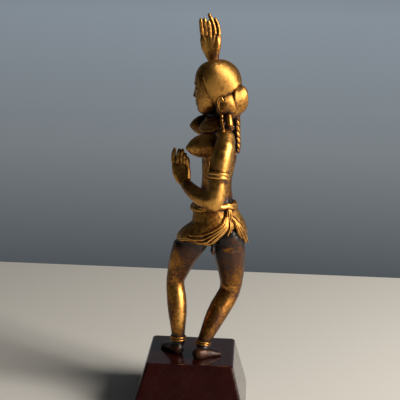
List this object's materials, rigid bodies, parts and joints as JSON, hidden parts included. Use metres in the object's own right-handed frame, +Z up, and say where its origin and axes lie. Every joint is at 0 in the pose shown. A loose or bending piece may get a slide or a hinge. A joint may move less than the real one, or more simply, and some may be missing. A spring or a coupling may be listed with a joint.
{
  "type": "dancing goddess figure",
  "caption": "Slender cast dancer with bent knees, one hand lifted over the head and one before the chest, standing on a lacquered wooden plinth with leaning sides.",
  "frame": {"origin": "middle of the plinth's underside", "axes": "+Z up, -Y towards the viewer of the figure's back, +X to that viewer's right"},
  "size_m": [0.0796, 0.1008, 0.273],
  "materials": {
    "gilt_bronze": "worn gilding over dark bronze, polished on the high parts",
    "red_lacquer": "glossy dark red lacquer"
  },
  "bodies": {
    "root": {"figure": "gilt_bronze", "plinth": "red_lacquer"}
  },
  "joints": []
}
